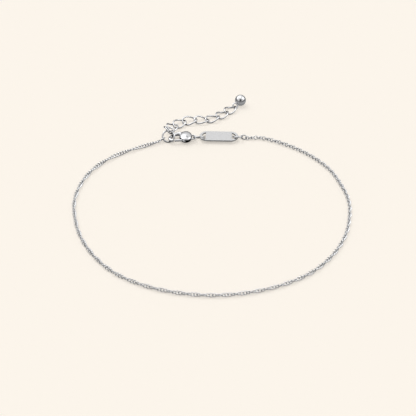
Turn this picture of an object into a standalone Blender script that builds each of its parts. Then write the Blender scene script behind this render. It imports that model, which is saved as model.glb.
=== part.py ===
"""An ankle chain with a lobster clasp, a bar tag and an extender, lying on a table.

Metres, +Z up. The origin is on the table, under the middle of the whole piece.
The wearer's ankle goes through the loop along Z.
"""

import math

import bmesh
import bpy
from mathutils import Matrix, Vector

MM = 0.001

# Clearance between two pieces of metal that hang in each other
HANG_GAP = 0.10 * MM

# Fine chain: the tube that its twisted links fill, and the gap from the tube to its end links
CHAIN_DIAMETER = 1.15 * MM
CHAIN_END_GAP = 0.25 * MM
CHAIN_POINT_PITCH = 2.45 * MM

# Small closed links at the chain's ends
END_LINK_LENGTH = 1.9 * MM
END_LINK_WIDTH = 1.35 * MM
END_LINK_WIRE = 0.32 * MM

# Jump rings
CLASP_RING_DIAMETER = 3.5 * MM
CLASP_RING_WIRE = 0.46 * MM
CLASP_RING_TILT = 45.0
CLASP_RING_SEAT = 0.5 * MM
TAG_RING_LEFT_DIAMETER = 3.3 * MM
TAG_RING_RIGHT_DIAMETER = 2.9 * MM
TAG_RING_WIRE = 0.36 * MM
# Slopes of the tag's rings: rise towards +X, rise towards -Y
TAG_RING_LEFT_LEAN = (0.01, 0.78)
TAG_RING_RIGHT_LEAN = (-0.05, 0.57)

# Lobster clasp, lying on its side with its hook at -X and its lever at -Y
CLASP_PLACE = Vector((-7.67 * MM, 24.3 * MM))
CLASP_LENGTH = 7.5 * MM
CLASP_WIDTH = 4.4 * MM
CLASP_THICKNESS = 2.04 * MM
CLASP_DOME_LENGTH = 3.4 * MM
CLASP_DOME_WIDTH = 4.4 * MM
# How far the dome reaches into the tail ring
CLASP_DOME_SEAT = 0.5 * MM
HOOK_WIRE = 0.80 * MM
TAIL_DIAMETER = 2.1 * MM
TAIL_WIRE = 0.40 * MM
TAIL_HEIGHT = 0.40 * MM
LEVER_THICKNESS = 0.6 * MM
LEVER_WIDTH = 0.62 * MM
LEVER_SIDE_GAP = 0.06 * MM
LEVER_TIP_GAP = 0.15 * MM
RIVET_DIAMETER = 0.5 * MM
RIVET_GAP = 0.05 * MM

# Bar tag
# How far the middle of its left rim lies from its left ring's middle, towards +X and towards +Y,
# as shares of the ring's radius
TAG_RIM_REACH = (0.3013, 0.6047)
TAG_TURN = -2.0
TAG_LENGTH = 10.2 * MM
TAG_WIDTH = 4.3 * MM
TAG_THICKNESS = 0.42 * MM
# How much larger the radius of its ends is than half its width
TAG_END_FLARE = 0.08 * MM
TAG_END_RADIUS = TAG_WIDTH / 2 + TAG_END_FLARE
TAG_RIM = 0.62 * MM
# Height of its underside: the wire of its two rings passes under its ends
TAG_LIFT = 0.62 * MM

# Extender: curb links, each twisted along its length so that it lies nearly flat
LINK_LENGTH = 4.28 * MM
LINK_WIDTH = 3.2 * MM
LINK_WIRE = 0.42 * MM
LINK_TWIST = -50.0
# Lay of each link from the clasp ring to the ball: heading in plan, climb and roll in degrees,
# and how slack it hangs in the piece before it, as a share of its wire
LINK_LAY = (
    (84.3, -18.5, 27.0, 0.23),
    (58.4, -13.3, 16.6, 1.11),
    (39.1, 0.0, 11.6, 0.66),
    (10.4, 1.5, 12.9, 0.50),
    (5.5, -5.5, 4.6, 0.27),
    (28.0, 2.5, -0.7, 0.52),
    (46.7, -1.6, 0.0, 0.24),
    (49.2, -0.2, 0.6, 0.0),
)

# Ball at the extender's end, with its soldered eye
BALL_DIAMETER = 3.0 * MM
EYE_DIAMETER = 1.8 * MM
EYE_WIRE = 0.36 * MM
EYE_SEAT = 0.12 * MM
EYE_ROLL = -35.0

# Route of the fine chain in plan, millimetres, from its left end round the front to its right end
CHAIN_ROUTE = (
    (-16.3, 21.5),
    (-21.6, 18.6),
    (-26.6, 14.9),
    (-30.7, 9.8),
    (-33.3, 3.8),
    (-34.6, -2.7),
    (-34.5, -9.2),
    (-32.7, -18.5),
    (-29.0, -27.0),
    (-23.5, -34.2),
    (-16.2, -39.2),
    (-8.2, -42.0),
    (0.1, -43.0),
    (8.3, -42.0),
    (16.3, -39.2),
    (23.7, -34.3),
    (29.4, -27.1),
    (33.1, -18.5),
    (34.6, -9.2),
    (34.4, -2.7),
    (32.8, 3.6),
    (30.5, 9.7),
    (26.9, 14.9),
    (22.4, 19.3),
    (17.3, 22.7),
    (12.9, 24.6),
)

# Hook of the clasp: shares of half the clasp's length and width, and of the hook's wire
HOOK_SECTIONS = (
    # along, across, thickness
    (0.10, 0.44, 1.60),
    (-0.14, 0.60, 1.45),
    (-0.36, 0.62, 1.25),
    (-0.56, 0.45, 1.10),
    (-0.73, 0.16, 1.00),
    (-0.87, -0.20, 1.00),
    (-0.88, -0.52, 1.00),
    (-0.77, -0.72, 0.96),
    (-0.62, -0.79, 0.92),
)

# Lever of the clasp: shares of half the clasp's length and width, and of the lever's width
LEVER_SECTIONS = (
    # along, across, width
    (-0.56, -0.79, 1.00),
    (-0.30, -0.76, 1.05),
    (0.00, -0.70, 1.15),
    (0.28, -0.52, 1.45),
    (0.50, -0.50, 1.00),
)
PIVOT_ALONG = 0.30
PIVOT_ACROSS = -0.50
NUB_ALONG = 0.12
NUB_ACROSS = -0.86

SILVER = (0.78, 0.78, 0.79)


def clear_scene():
    for obj in list(bpy.data.objects):
        bpy.data.objects.remove(obj, do_unlink=True)


def silver(name, roughness):
    material = bpy.data.materials.new(name)
    material.use_nodes = True
    shader = material.node_tree.nodes["Principled BSDF"]
    shader.inputs["Base Color"].default_value = (*SILVER, 1.0)
    shader.inputs["Metallic"].default_value = 1.0
    shader.inputs["Roughness"].default_value = roughness
    return material


def add_object(name, data, roughness=0.12):
    obj = bpy.data.objects.new(name, data)
    bpy.context.scene.collection.objects.link(obj)
    data.materials.append(silver(name + "_silver", roughness))
    return obj


def add_helper(name, mesh):
    """A solid that is only cut from a piece or fused to it."""
    obj = bpy.data.objects.new(name, mesh)
    bpy.context.scene.collection.objects.link(obj)
    obj.hide_render = True
    obj.display_type = "WIRE"
    return obj


def combine(obj, other, operation):
    modifier = obj.modifiers.new(operation.lower() + "_" + other.name, "BOOLEAN")
    modifier.operation = operation
    modifier.solver = "EXACT"
    modifier.object = other


def shade_smooth(mesh, sharp_angle=40.0):
    mesh.shade_smooth()
    mesh.set_sharp_from_angle(angle=math.radians(sharp_angle))


def mesh_from(bm, name):
    bmesh.ops.recalc_face_normals(bm, faces=bm.faces)
    mesh = bpy.data.meshes.new(name)
    bm.to_mesh(mesh)
    bm.free()
    shade_smooth(mesh)
    return mesh


def smooth_points(points, steps):
    """Points on the Catmull-Rom curve through the given ones, with steps on each stretch."""
    ends = [2 * points[0] - points[1]] + list(points) + [2 * points[-1] - points[-2]]
    curve = []
    for before, start, end, after in zip(ends, ends[1:], ends[2:], ends[3:]):
        for step in range(steps):
            t = step / steps
            curve.append(
                0.5 * (2 * start + (end - before) * t
                       + (2 * before - 5 * start + 4 * end - after) * t**2
                       + (3 * start - before - 3 * end + after) * t**3)
            )
    return curve + [points[-1]]


def evenly_spaced(points, pitch):
    """Points about one pitch apart along a line of points, with both its ends."""
    lengths = [0.0]
    for start, end in zip(points, points[1:]):
        lengths.append(lengths[-1] + (end - start).length)
    count = round(lengths[-1] / pitch)
    spaced, place = [], 0
    for step in range(count + 1):
        wanted = lengths[-1] * step / count
        while place < len(points) - 2 and lengths[place + 1] < wanted:
            place += 1
        share = (wanted - lengths[place]) / (lengths[place + 1] - lengths[place])
        spaced.append(points[place].lerp(points[place + 1], share))
    return spaced


def wire_curve(name, points, diameter, closed, sides=6):
    """A wire along the points: a ring or link if closed, otherwise a rod with flat ends."""
    curve = bpy.data.curves.new(name, "CURVE")
    curve.dimensions = "3D"
    curve.fill_mode = "FULL"
    curve.bevel_depth = diameter / 2
    curve.bevel_resolution = (sides - 4) // 2
    curve.use_fill_caps = not closed
    spline = curve.splines.new("POLY")
    spline.points.add(len(points) - 1)
    for spot, point in zip(spline.points, points):
        spot.co = (*point, 1.0)
    spline.use_cyclic_u = closed
    spline.use_smooth = True
    return curve


def link_points(length, width, wire, twist=0.0, pitch=1.0, count=14):
    """Middle line of a closed link along X. A twisted link turns by twist over each pitch of its length."""
    half_length, half_width = (length - wire) / 2, (width - wire) / 2
    points = []
    for step in range(count):
        angle = math.tau * step / count
        along = half_length * math.cos(angle)
        across = half_width * math.sin(angle)
        turn = math.radians(twist) * along / pitch
        points.append(Vector((along, across * math.cos(turn), across * math.sin(turn))))
    return points


def frame_matrix(place, along, normal):
    """Local X goes along the given line and local Z as near the normal as it can."""
    x_axis = along.normalized()
    z_axis = (normal - normal.dot(x_axis) * x_axis).normalized()
    turn = Matrix((x_axis, z_axis.cross(x_axis), z_axis)).transposed().to_4x4()
    return Matrix.Translation(place) @ turn


def add_ring(name, place, diameter, wire, along, normal):
    points = link_points(diameter, diameter, wire, count=18)
    ring = add_object(name, wire_curve(name, points, wire, closed=True))
    ring.matrix_world = frame_matrix(place, along, normal)
    return ring


def flat_tube(name, path, half_widths, half_height, sides=10):
    """A rod along a line in the XY plane with oval sections and rounded ends."""
    bm = bmesh.new()
    loops = []
    for place, point in enumerate(path):
        run = path[min(place + 1, len(path) - 1)] - path[max(place - 1, 0)]
        side = Vector((-run.y, run.x, 0.0)).normalized()
        loop = []
        for step in range(sides):
            angle = math.tau * step / sides
            offset = side * math.cos(angle) * half_widths[place]
            lift = Vector((0.0, 0.0, math.sin(angle) * half_height[place]))
            loop.append(bm.verts.new(point + offset + lift))
        loops.append(loop)
    for first, second in zip(loops, loops[1:]):
        for step in range(sides):
            after = (step + 1) % sides
            bm.faces.new((first[step], first[after], second[after], second[step]))
    bm.faces.new(loops[0])
    bm.faces.new(loops[-1])
    return mesh_from(bm, name)


def cylinder_mesh(name, radius, height, place, segments=16):
    bm = bmesh.new()
    bmesh.ops.create_cone(bm, cap_ends=True, segments=segments, radius1=radius, radius2=radius,
                          depth=height, matrix=Matrix.Translation(place))
    return mesh_from(bm, name)


def box_mesh(name, low, high):
    bm = bmesh.new()
    middle = (low + high) / 2
    scale = Matrix.Diagonal((*(high - low), 1.0))
    bmesh.ops.create_cube(bm, size=1.0, matrix=Matrix.Translation(middle) @ scale)
    return mesh_from(bm, name)


def torus_mesh(name, place, diameter, wire, height, segments=16, sides=8):
    """A flat ring in the XY plane whose wire is as high as the given height."""
    radius = (diameter - wire) / 2
    bm = bmesh.new()
    loops = []
    for step in range(segments):
        turn = math.tau * step / segments
        loop = []
        for side in range(sides):
            angle = math.tau * side / sides
            out = radius + math.cos(angle) * wire / 2
            spot = Vector((out * math.cos(turn), out * math.sin(turn), math.sin(angle) * height / 2))
            loop.append(bm.verts.new(place + spot))
        loops.append(loop)
    for place_now, loop in enumerate(loops):
        following = loops[(place_now + 1) % segments]
        for side in range(sides):
            after = (side + 1) % sides
            bm.faces.new((loop[side], loop[after], following[after], following[side]))
    return mesh_from(bm, name)


def dome_mesh(name, place, length, width, thickness, segments=24, rings=10, fullness=2.6):
    """A flattened round body, fuller than an ellipsoid."""
    bm = bmesh.new()
    bmesh.ops.create_uvsphere(bm, u_segments=segments, v_segments=rings, radius=1.0)
    for vertex in bm.verts:
        reach = math.hypot(vertex.co.x, vertex.co.y)
        rise = math.copysign(max(0.0, 1.0 - reach**2) ** (1.0 / fullness), vertex.co.z)
        vertex.co = place + Vector((vertex.co.x * length / 2, vertex.co.y * width / 2, rise * thickness / 2))
    return mesh_from(bm, name)


def clasp_spot(along, across):
    """A place in the clasp from shares of half its length and width."""
    return Vector((along * CLASP_LENGTH / 2, across * CLASP_WIDTH / 2, 0.0))


def clasp_middle():
    return Vector((CLASP_PLACE.x, CLASP_PLACE.y, CLASP_THICKNESS / 2))


def tail_place():
    """Middle of the clasp's tail ring, from the clasp's middle."""
    return Vector(((CLASP_LENGTH - TAIL_DIAMETER) / 2, -0.02 * CLASP_WIDTH, 0.0))


def build_clasp():
    middle = clasp_middle()
    parent = bpy.data.objects.new("clasp_middle", None)
    bpy.context.scene.collection.objects.link(parent)
    parent.location = middle

    dome_middle = Vector((
        CLASP_LENGTH / 2 - TAIL_DIAMETER + TAIL_WIRE + CLASP_DOME_SEAT - CLASP_DOME_LENGTH / 2,
        (CLASP_WIDTH - CLASP_DOME_WIDTH) / 2,
        0.0,
    ))
    dome = dome_mesh("clasp_body", dome_middle, CLASP_DOME_LENGTH, CLASP_DOME_WIDTH, CLASP_THICKNESS)
    body = add_object("clasp_body", dome, 0.1)

    rows = smooth_points([Vector(row) for row in HOOK_SECTIONS], 2)
    path = [clasp_spot(row.x, row.y) for row in rows]
    radii = [row.z * HOOK_WIRE / 2 for row in rows]
    hook = add_helper("hook_wire", flat_tube("hook_wire", path, radii, radii))
    tail = add_helper("tail_ring", torus_mesh("tail_ring", tail_place(), TAIL_DIAMETER, TAIL_WIRE, TAIL_HEIGHT))

    slot_half = LEVER_THICKNESS / 2 + LEVER_SIDE_GAP
    pivot = clasp_spot(PIVOT_ALONG, PIVOT_ACROSS)
    slot_low = Vector((-CLASP_LENGTH / 2 + HOOK_WIRE, -CLASP_WIDTH, -slot_half))
    slot_low.x = path[-1].x + LEVER_TIP_GAP
    slot_high = Vector((pivot.x + 0.3 * CLASP_DOME_LENGTH, pivot.y + LEVER_WIDTH * 1.2, slot_half))
    slot = add_helper("lever_slot", box_mesh("lever_slot", slot_low, slot_high))
    pin_hole = RIVET_DIAMETER / 2 + RIVET_GAP
    bore = add_helper("rivet_bore", cylinder_mesh("rivet_bore", pin_hole, 2 * CLASP_THICKNESS, pivot))

    combine(body, hook, "UNION")
    combine(body, tail, "UNION")
    combine(body, slot, "DIFFERENCE")
    combine(body, bore, "DIFFERENCE")

    rows = smooth_points([Vector(row) for row in LEVER_SECTIONS], 3)
    path = [clasp_spot(row.x, row.y) - pivot for row in rows]
    path[0].x = max(path[0].x, slot_low.x - pivot.x)
    widths = [row.z * LEVER_WIDTH / 2 for row in rows]
    heights = [LEVER_THICKNESS / 2] * len(rows)
    lever = add_object("clasp_lever", flat_tube("clasp_lever", path, widths, heights), 0.1)
    nub_place = clasp_spot(NUB_ALONG, NUB_ACROSS) - pivot
    nub = add_helper("lever_nub", dome_mesh("lever_nub", nub_place, 1.2 * LEVER_WIDTH, LEVER_WIDTH, LEVER_THICKNESS, 12, 8))
    lever_bore = add_helper("lever_bore", cylinder_mesh("lever_bore", pin_hole, 2 * CLASP_THICKNESS, Vector()))
    combine(lever, nub, "UNION")
    combine(lever, lever_bore, "DIFFERENCE")

    along = (pivot.x - dome_middle.x) / (CLASP_DOME_LENGTH / 2)
    across = (pivot.y - dome_middle.y) / (CLASP_DOME_WIDTH / 2)
    rivet_height = CLASP_THICKNESS * (1.0 - along**2 - across**2) ** 0.385
    rivet = add_object("clasp_rivet", cylinder_mesh("clasp_rivet", RIVET_DIAMETER / 2, rivet_height, Vector()), 0.2)

    for piece in (body, hook, tail, slot, bore):
        piece.parent = parent
    for piece in (lever, nub, lever_bore, rivet):
        piece.parent = parent
        piece.location = pivot


def build_clasp_ring():
    """The ring round the hook's nose, leaning back. Gives the middle of its wire at the top and at the left."""
    radius = (CLASP_RING_DIAMETER - CLASP_RING_WIRE) / 2
    tilt = math.radians(CLASP_RING_TILT)
    lean = Vector((0.0, math.cos(tilt), math.sin(tilt)))
    inside_nose = CLASP_PLACE.x - CLASP_LENGTH / 2 + HOOK_WIRE
    place = Vector((
        inside_nose + CLASP_RING_SEAT + CLASP_RING_WIRE / 2 - radius,
        CLASP_PLACE.y - 0.03 * CLASP_WIDTH,
        CLASP_RING_WIRE / 2 + radius * lean.z,
    ))
    normal = Vector((1.0, 0.0, 0.0)).cross(lean)
    add_ring("clasp_ring", place, CLASP_RING_DIAMETER, CLASP_RING_WIRE, Vector((1.0, 0.0, 0.0)), normal)
    side = math.radians(205.0)
    left = place + radius * (math.cos(side) * Vector((1.0, 0.0, 0.0)) + math.sin(side) * lean)
    left_run = -math.sin(side) * Vector((1.0, 0.0, 0.0)) + math.cos(side) * lean
    return place + radius * lean, left, left_run


def heading(turn, climb):
    turn, climb = math.radians(turn), math.radians(climb)
    return Vector((math.cos(turn) * math.cos(climb), math.sin(turn) * math.cos(climb), math.sin(climb)))


def build_extender(ring_top):
    """The curb links from the clasp ring's top wire to the ball."""
    pitch = LINK_LENGTH - 2 * LINK_WIRE - HANG_GAP
    reach = (LINK_WIRE + HANG_GAP) / 2
    first = heading(*LINK_LAY[0][:2])
    hook_point = ring_top - first * ((CLASP_RING_WIRE + LINK_WIRE) / 2 + HANG_GAP - reach)
    points = link_points(LINK_LENGTH, LINK_WIDTH, LINK_WIRE, LINK_TWIST, pitch, 16)
    for number, (turn, climb, roll, slack) in enumerate(LINK_LAY, 1):
        along = heading(turn, climb)
        hook_point = hook_point - along * slack * LINK_WIRE
        name = f"extender_link_{number}"
        link = add_object(name, wire_curve(name, points, LINK_WIRE, closed=True))
        lay = frame_matrix(hook_point + along * pitch / 2, along, Vector((0.0, 0.0, 1.0)))
        link.matrix_world = lay @ Matrix.Rotation(math.radians(roll), 4, "X")
        hook_point = hook_point + along * pitch
    return hook_point, along


def build_end_ball(hook_point, along):
    """The ball and its eye. The last link's nose hangs in the eye."""
    flat_run = Vector((along.x, along.y, 0.0)).normalized()
    eye_radius = (EYE_DIAMETER - EYE_WIRE) / 2
    last_nose = hook_point + along * (LINK_WIRE + HANG_GAP) / 2
    eye_wire = last_nose - along * ((LINK_WIRE + EYE_WIRE) / 2 + 1.5 * HANG_GAP)
    ball_reach = EYE_DIAMETER / 2 + BALL_DIAMETER / 2 - EYE_SEAT
    ball_height = BALL_DIAMETER / 2
    drop = (ball_height - eye_wire.z) / (ball_reach + eye_radius)
    to_ball = (flat_run * math.sqrt(1.0 - drop**2) + Vector((0.0, 0.0, drop))).normalized()
    eye_place = eye_wire + to_ball * eye_radius
    ball_place = eye_place + to_ball * ball_reach

    bm = bmesh.new()
    bmesh.ops.create_uvsphere(bm, u_segments=20, v_segments=14, radius=BALL_DIAMETER / 2)
    ball = add_object("end_ball", mesh_from(bm, "end_ball"), 0.05)
    ball.location = ball_place
    eye = add_helper("ball_eye", torus_mesh("ball_eye", Vector(), EYE_DIAMETER, EYE_WIRE, EYE_WIRE, 14, 6))
    upright = frame_matrix(eye_place, to_ball, to_ball.cross(Vector((0.0, 0.0, 1.0))))
    eye.matrix_world = upright @ Matrix.Rotation(math.radians(EYE_ROLL), 4, "X")
    combine(ball, eye, "UNION")


def tag_outline(steps=8):
    """The tag's outline and where its two round ends start, in its own frame."""
    half_width = TAG_WIDTH / 2
    spread = math.asin(half_width / TAG_END_RADIUS)
    arc_middle = TAG_LENGTH / 2 - TAG_END_RADIUS
    end = [
        Vector((
            arc_middle + TAG_END_RADIUS * math.cos(spread * (2 * step / steps - 1)),
            TAG_END_RADIUS * math.sin(spread * (2 * step / steps - 1)),
        ))
        for step in range(steps + 1)
    ]
    return end, arc_middle


def build_tag():
    """The bar tag, with its middle stretch a plain rectangle on both faces."""
    end, arc_middle = tag_outline()
    bm = bmesh.new()
    right = [bm.verts.new((spot.x, spot.y, 0.0)) for spot in end]
    left = [bm.verts.new((-spot.x, -spot.y, 0.0)) for spot in end]
    bm.faces.new(right)
    bm.faces.new(left)
    bm.faces.new((left[-1], left[0], right[-1], right[0]))
    lifted = bmesh.ops.extrude_face_region(bm, geom=bm.faces[:])
    bmesh.ops.translate(bm, vec=(0.0, 0.0, TAG_THICKNESS),
                        verts=[item for item in lifted["geom"] if isinstance(item, bmesh.types.BMVert)])
    tag = add_object("tag", mesh_from(bm, "tag"), 0.3)
    flat_side = end[0].x
    for name, facing in (("tag_hole_left", -1.0), ("tag_hole_right", 1.0)):
        radius = TAG_END_RADIUS - TAG_RIM
        spread = math.acos((flat_side - arc_middle) / radius)
        bm = bmesh.new()
        corners = []
        for step in range(9):
            angle = spread * (step / 4 - 1.0)
            corners.append(bm.verts.new((
                facing * (arc_middle + radius * math.cos(angle)),
                radius * math.sin(angle),
                -TAG_THICKNESS,
            )))
        face = bm.faces.new(corners)
        lifted = bmesh.ops.extrude_face_region(bm, geom=[face])
        bmesh.ops.translate(bm, vec=(0.0, 0.0, 3 * TAG_THICKNESS),
                            verts=[item for item in lifted["geom"] if isinstance(item, bmesh.types.BMVert)])
        hole = add_helper(name, mesh_from(bm, name))
        hole.parent = tag
        combine(tag, hole, "DIFFERENCE")
    place = tag_spot(0.0)
    tag.location = (place.x, place.y, TAG_LIFT)
    tag.rotation_euler.z = math.radians(TAG_TURN)
    return tag


def left_ring_spot():
    """The place in plan of the ring that joins the clasp's tail to the tag, and its radius."""
    tail = clasp_middle() + tail_place() + Vector(((TAIL_DIAMETER - TAIL_WIRE) / 2, 0.0, 0.0))
    radius = (TAG_RING_LEFT_DIAMETER - TAG_RING_WIRE) / 2
    inside_tail = tail.x + radius - (TAIL_WIRE + TAG_RING_WIRE) / 2 - 2.8 * HANG_GAP
    return Vector((inside_tail, tail.y - 0.057 * radius)), radius


def tag_spot(along):
    """The place in plan of a point on the tag's long middle line. The tag hangs on its left ring."""
    ring, radius = left_ring_spot()
    left_rim = ring + radius * Vector(TAG_RIM_REACH)
    turn = Matrix.Rotation(math.radians(TAG_TURN), 2)
    return left_rim + turn @ Vector((along + (TAG_LENGTH - TAG_RIM) / 2, 0.0))


def leaning_ring(name, place, diameter, lean_x, lean_y):
    """A jump ring whose wire rises by lean_x towards +X and by lean_y towards -Y, with its lowest point on the table."""
    normal = Vector((-lean_x, lean_y, 1.0)).normalized()
    radius = (diameter - TAG_RING_WIRE) / 2
    height = TAG_RING_WIRE / 2 + radius * math.hypot(normal.x, normal.y)
    middle = Vector((place.x, place.y, height))
    add_ring(name, middle, diameter, TAG_RING_WIRE, Vector((1.0, 0.0, 0.0)), normal)
    return middle, normal


def build_tag_rings():
    """The rings through the tag's holes. Gives the wire at the right ring's right side."""
    leaning_ring("tag_ring_left", left_ring_spot()[0], TAG_RING_LEFT_DIAMETER, *TAG_RING_LEFT_LEAN)

    radius = (TAG_RING_RIGHT_DIAMETER - TAG_RING_WIRE) / 2
    bar_right = tag_spot(TAG_LENGTH / 2 - TAG_RIM / 2)
    place = bar_right + Vector((0.166 * radius, 0.0))
    middle, normal = leaning_ring("tag_ring_right", place, TAG_RING_RIGHT_DIAMETER, *TAG_RING_RIGHT_LEAN)
    side = math.radians(10.0)
    x_axis = frame_matrix(Vector(), Vector((1.0, 0.0, 0.0)), normal).col[0].to_3d()
    y_axis = normal.cross(x_axis)
    wire = middle + radius * (math.cos(side) * x_axis + math.sin(side) * y_axis)
    run = -math.sin(side) * x_axis + math.cos(side) * y_axis
    return wire, run


def build_end_link(name, ring_wire, ring_run, ring_wire_diameter, away):
    """A small link hung on a ring's wire. Gives the point that the chain's end faces."""
    reach = (ring_wire_diameter + END_LINK_WIRE) / 2 + HANG_GAP
    half_length = (END_LINK_LENGTH - END_LINK_WIRE) / 2
    place = ring_wire + away * (half_length - reach)
    points = link_points(END_LINK_LENGTH, END_LINK_WIDTH, END_LINK_WIRE, count=12)
    link = add_object(name, wire_curve(name, points, END_LINK_WIRE, closed=True))
    link.matrix_world = frame_matrix(place, away, ring_run)
    return place + away * (END_LINK_LENGTH / 2 + CHAIN_END_GAP)


def build_main_chain(left_end, right_end):
    """The tube that the fine chain fills, on its route round the ankle."""
    height = CHAIN_DIAMETER / 2
    ends = [Vector((spot.x, spot.y, max(spot.z, height))) for spot in (left_end, right_end)]
    route = [Vector((x * MM, y * MM, height)) for x, y in CHAIN_ROUTE]
    points = evenly_spaced(smooth_points([ends[0], *route, ends[1]], 16), CHAIN_POINT_PITCH)
    add_object("main_chain", wire_curve("main_chain", points, CHAIN_DIAMETER, closed=False, sides=8), 0.25)


def main():
    clear_scene()
    build_clasp()
    ring_top, ring_left, ring_left_run = build_clasp_ring()
    build_end_ball(*build_extender(ring_top))
    build_tag()
    right_wire, right_run = build_tag_rings()
    left_end = build_end_link("chain_end_link_left", ring_left, ring_left_run, CLASP_RING_WIRE,
                              Vector((-0.80, -0.57, -0.18)).normalized())
    right_end = build_end_link("chain_end_link_right", right_wire, right_run, TAG_RING_WIRE,
                               Vector((0.93, -0.25, -0.10)).normalized())
    build_main_chain(left_end, right_end)


main()
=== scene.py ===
"""Looks of a fine silver ankle chain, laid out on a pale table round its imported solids.

Sizes and places in the classes are millimetres in the part's frame. A mesh is turned into
metres when its object is made.
"""

import logging
import math
from dataclasses import dataclass, replace
from enum import Enum

import bmesh
import bpy
from mathutils import Matrix, Vector

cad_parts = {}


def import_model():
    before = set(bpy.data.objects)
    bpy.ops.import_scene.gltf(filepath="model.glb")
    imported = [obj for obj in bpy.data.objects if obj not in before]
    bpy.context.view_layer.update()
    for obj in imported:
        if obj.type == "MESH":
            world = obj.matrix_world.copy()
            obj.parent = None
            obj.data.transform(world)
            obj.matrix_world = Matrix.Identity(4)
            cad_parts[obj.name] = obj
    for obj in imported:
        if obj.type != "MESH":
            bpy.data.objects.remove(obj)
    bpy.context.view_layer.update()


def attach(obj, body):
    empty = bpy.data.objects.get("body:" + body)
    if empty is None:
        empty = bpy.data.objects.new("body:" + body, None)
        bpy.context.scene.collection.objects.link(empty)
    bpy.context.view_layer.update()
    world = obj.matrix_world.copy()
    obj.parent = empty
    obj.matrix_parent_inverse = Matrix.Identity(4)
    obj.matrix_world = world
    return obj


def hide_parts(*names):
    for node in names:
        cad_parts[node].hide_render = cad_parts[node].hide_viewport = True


log = logging.getLogger("anklet")

MM = 0.001
RIGHT = Vector((1.0, 0.0, 0.0))
UP = Vector((0.0, 0.0, 1.0))
# Play between two wires that hang in each other
HANG_GAP = 0.10
# Edges of a round wire's mesh stay smooth below this angle, in degrees
WIRE_ANGLE = 75.0


class Body(Enum):
    """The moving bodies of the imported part."""

    ANKLET = "anklet"
    LEVER = "lever"


class Slot(Enum):
    """The record's material slots."""

    CHAIN = "chain_silver"
    POLISHED = "polished_silver"
    TAG = "tag_silver"
    WIRE = "wire_silver"


class Fuse(Enum):
    """What a cutter or a second solid does to a mesh."""

    JOIN = "UNION"
    CUT = "DIFFERENCE"


def add_node(tree: bpy.types.NodeTree, kind: str,
             values: dict[str, float | tuple[float, ...]]) -> bpy.types.Node:
    """Adds a node to a tree.

    Args:
        tree: The tree.
        kind: The node's type.
        values: What is set on its inputs, by their names.

    Returns:
        The node.
    """
    node = tree.nodes.new(kind)
    for name, value in values.items():
        node.inputs[name].default_value = value
    return node


def linked(name: str, data: bpy.types.ID) -> bpy.types.Object:
    """Puts a mesh, a curve, a light or a camera into the scene.

    Args:
        name: The object's name.
        data: What it holds.

    Returns:
        The object.
    """
    obj = bpy.data.objects.new(name, data)
    bpy.context.scene.collection.objects.link(obj)
    return obj


def aim(thing: bpy.types.Object, way: Vector) -> None:
    """Turns a camera or a lamp to look along a direction."""
    thing.rotation_mode = "QUATERNION"
    thing.rotation_quaternion = way.to_track_quat("-Z", "Y")


@dataclass(frozen=True)
class SilverFinish:
    """Silver whose tone drifts over the surface, with very fine handling marks.

    Lengths are millimetres. Painted shade darkens the colour in crevices, where parts touch and
    under pieces near the table; its reach is how far the shade looks for nearby surfaces, its keep
    is the share of brightness left where the shade is deepest, and the drift scale is how often the
    tone changes over a millimetre.
    """

    name: str
    slot: Slot
    bright: tuple[float, float, float]
    dull: tuple[float, float, float]
    smooth: float
    worn: float
    mark_depth: float
    mark_pitch: float = 0.25
    brushed: float = 1.0
    shade_reach: float = 0.7
    kept_in_shade: float = 0.12
    drift_scale: float = 0.35

    def material(self) -> bpy.types.Material:
        """Makes the node material.

        Returns:
            The material, with all that is even over the surface set on the shader itself.
        """
        found = bpy.data.materials.get(self.name)
        if found:
            return found
        material = bpy.data.materials.new(self.name)
        material.use_nodes = True
        tree = material.node_tree
        shader = tree.nodes["Principled BSDF"]
        shader.inputs["Metallic"].default_value = 1.0
        place = tree.nodes.new("ShaderNodeTexCoord")
        stretch = add_node(tree, "ShaderNodeMapping", {"Scale": (1.0, self.brushed, 1.0)})
        drift = add_node(tree, "ShaderNodeTexNoise", {"Scale": self.drift_scale / MM, "Detail": 3.0})
        marks = add_node(tree, "ShaderNodeTexNoise",
                         {"Scale": 1.0 / (self.mark_pitch * MM), "Detail": 4.0})
        tone = add_node(tree, "ShaderNodeMixRGB",
                        {"Color1": (*self.bright, 1.0), "Color2": (*self.dull, 1.0)})
        # Painted shade: the base colour darkens where the occlusion probe finds surfaces close by,
        # in crevices, where parts touch and under pieces near the table
        corner = add_node(tree, "ShaderNodeAmbientOcclusion", {"Distance": self.shade_reach * MM})
        corner.samples = 12
        depth = add_node(tree, "ShaderNodeMapRange",
                         {"From Min": 0.25, "From Max": 0.90, "To Min": self.kept_in_shade})
        shaded = tree.nodes.new("ShaderNodeVectorMath")
        shaded.operation = "SCALE"
        wear = add_node(tree, "ShaderNodeMapRange", {"From Min": 0.3, "From Max": 0.7,
                                                     "To Min": self.smooth, "To Max": self.worn})
        relief = add_node(tree, "ShaderNodeBump",
                          {"Strength": 0.5, "Distance": self.mark_depth * MM})
        for source, output, reader, entry in (
            (place, "Object", stretch, "Vector"),
            (stretch, "Vector", drift, "Vector"),
            (stretch, "Vector", marks, "Vector"),
            (drift, "Fac", tone, "Fac"),
            (corner, "AO", depth, "Value"),
            (tone, "Color", shaded, "Vector"),
            (depth, "Result", shaded, "Scale"),
            (shaded, "Vector", shader, "Base Color"),
            (marks, "Fac", wear, "Value"),
            (wear, "Result", shader, "Roughness"),
            (marks, "Fac", relief, "Height"),
            (relief, "Normal", shader, "Normal"),
        ):
            tree.links.new(source.outputs[output], reader.inputs[entry])
        return material


# The last two settings of each finish give its painted shade: how far the shade reaches into
# crevices and under pieces near the table, and how much brightness it leaves
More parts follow.
